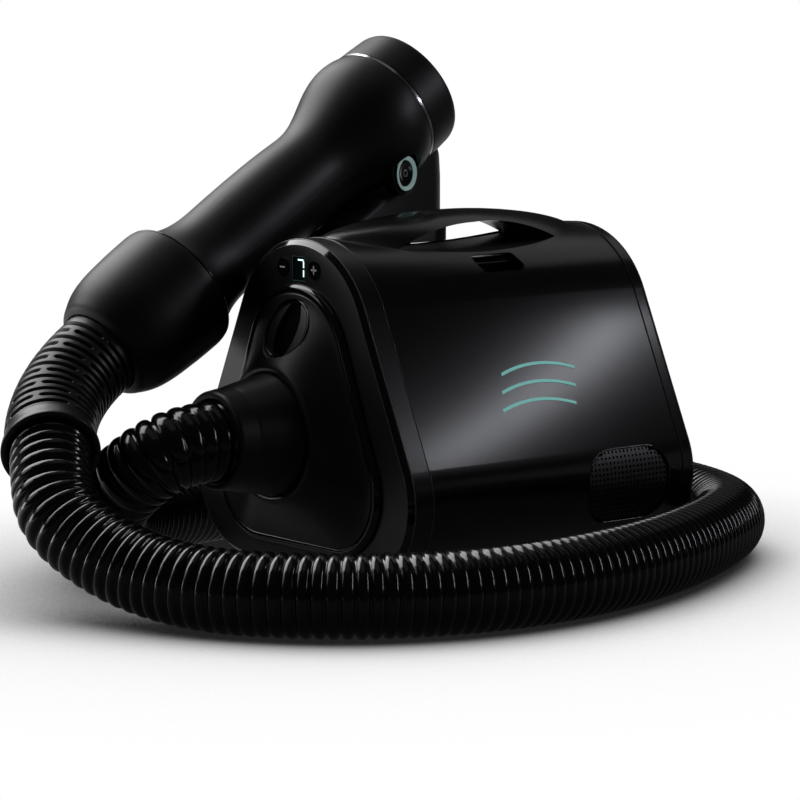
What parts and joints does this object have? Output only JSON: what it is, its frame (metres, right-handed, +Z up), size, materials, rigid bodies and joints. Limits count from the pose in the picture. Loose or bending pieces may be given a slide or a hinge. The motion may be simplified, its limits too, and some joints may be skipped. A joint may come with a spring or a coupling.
{
  "type": "pet dryer",
  "caption": "Canister hair and coat dryer: a rounded base with handle, display and fan, and a corrugated hose to a handpiece that stands in a side cradle.",
  "frame": {"origin": "centre of the base's footprint, on the floor", "axes": "+Z up, the front with the display and hose socket towards -Y, +X to the base's right seen from behind its handle"},
  "size_m": [0.3396, 0.4534, 0.2836],
  "materials": {
    "shell_black": "satin black, faintly grained",
    "bezel_satin": "satin dark grey",
    "gloss_black": "glossy black",
    "hose_gloss": "glossy black corrugated plastic",
    "cuff_black": "semi-matte black",
    "soft_black": "soft-touch matte black",
    "bright_ring": "bright metal ring",
    "mint": "glossy pale mint",
    "lens_black": "dark display lens",
    "lit_figure": "pale lit figure",
    "steel": "machined steel",
    "brass": "plated contacts",
    "inner_grey": "plain grey moulding",
    "liner_pale": "pale heat-proof ceramic and mica",
    "foam": "open-cell foam",
    "rubber": "dull black rubber",
    "board": "green circuit board"
  },
  "bodies": {
    "base": {"main_shell": "shell_black", "front_bezel": "bezel_satin", "cover_seat": "bezel_satin", "rear_cover": "shell_black", "bottom_plate": "shell_black", "foot_ring": "rubber", "plate_screws": "steel", "carry_handle": "shell_black", "slot_ledge": "shell_black", "exhaust_grille": "shell_black", "exhaust_foam": "foam", "emblem": "mint", "display_window": "lens_black", "display_digit": "lit_figure", "display_board": "board", "power_inlet": "gloss_black", "inlet_pins": "brass", "hose_spigot": "inner_grey", "spigot_seal": "rubber", "filter_frame": "inner_grey", "filter_foam": "foam", "motor_housing": "inner_grey", "motor_carrier": "inner_grey", "motor_stator": "steel", "front_bearing": "steel", "rear_bearing": "steel", "housing_cradle": "inner_grey", "control_board": "board", "cover_catch": "bezel_satin", "hose": "hose_gloss", "dock_cradle": "shell_black"},
    "front_cover": {"front_cover": "bezel_satin", "latch_ring": "gloss_black"},
    "latch": {"latch_button": "gloss_black"},
    "minus_button": {"minus_button": "gloss_black"},
    "plus_button": {"plus_button": "gloss_black"},
    "rotor": {"motor_shaft": "steel", "motor_rotor": "steel", "impeller": "inner_grey"},
    "base_cuff": {"hose_cuff": "cuff_black"},
    "handpiece": {"barrel_shell": "soft_black", "seam_ring": "bright_ring", "cap_seat": "soft_black", "inner_tube": "liner_pale", "heater_core": "liner_pale", "liner_mount": "liner_pale", "cup_bearing": "inner_grey", "cup_trim": "bright_ring", "strain_relief": "cuff_black", "handle_grip": "soft_black", "grip_foot": "soft_black", "switch_ring": "mint", "switch_body": "inner_grey"},
    "cap": {"intake_cap": "soft_black", "intake_grille": "soft_black"},
    "cup": {"hose_cup": "soft_black"},
    "rocker": {"rocker": "mint"}
  },
  "joints": [
    {"name": "minus_press", "type": "slide", "parent": "base", "child": "minus_button", "axis": [0, 1, 0], "range_m": [0, 0.0008], "stiffness_N_per_m": 400, "springref_m": -0.001},
    {"name": "plus_press", "type": "slide", "parent": "base", "child": "plus_button", "axis": [0, 1, 0], "range_m": [0, 0.0008], "stiffness_N_per_m": 400, "springref_m": -0.001},
    {"name": "front_cover_slide", "type": "slide", "parent": "base", "child": "front_cover", "axis": [0, -1, 0], "range_m": [0, 0.022]},
    {"name": "latch_press", "type": "slide", "parent": "front_cover", "child": "latch", "axis": [0, 0.9063, -0.4226], "range_m": [0, 0.002], "stiffness_N_per_m": 600, "springref_m": -0.001},
    {"name": "rotor_spin", "type": "hinge", "parent": "base", "child": "rotor", "pos_m": [0, 0, 0.0785], "axis": [0, 1, 0], "continuous": true},
    {"name": "cuff_swivel", "type": "hinge", "parent": "base", "child": "base_cuff", "pos_m": [0, -0.13, 0.0785], "axis": [0, 1, 0], "continuous": true},
    {"name": "handpiece_lift", "type": "slide", "parent": "base", "child": "handpiece", "axis": [0, 0, 1], "range_m": [0, 0.02], "deforming": ["hose"]},
    {"name": "cap_twist", "type": "hinge", "parent": "handpiece", "child": "cap", "pos_m": [-0.079, 0.02, 0.2407], "axis": [0.0599, -0.8569, -0.512], "range_deg": [0, 30]},
    {"name": "cup_swivel", "type": "hinge", "parent": "handpiece", "child": "cup", "pos_m": [-0.079, 0.02, 0.2407], "axis": [0.0599, -0.8569, -0.512], "continuous": true},
    {"name": "rocker_tilt", "type": "hinge", "parent": "handpiece", "child": "rocker", "pos_m": [-0.05073, 0.01384, 0.2078], "axis": [-0.1508, 0.4993, -0.8532], "range_deg": [-7, 7]}
  ]
}
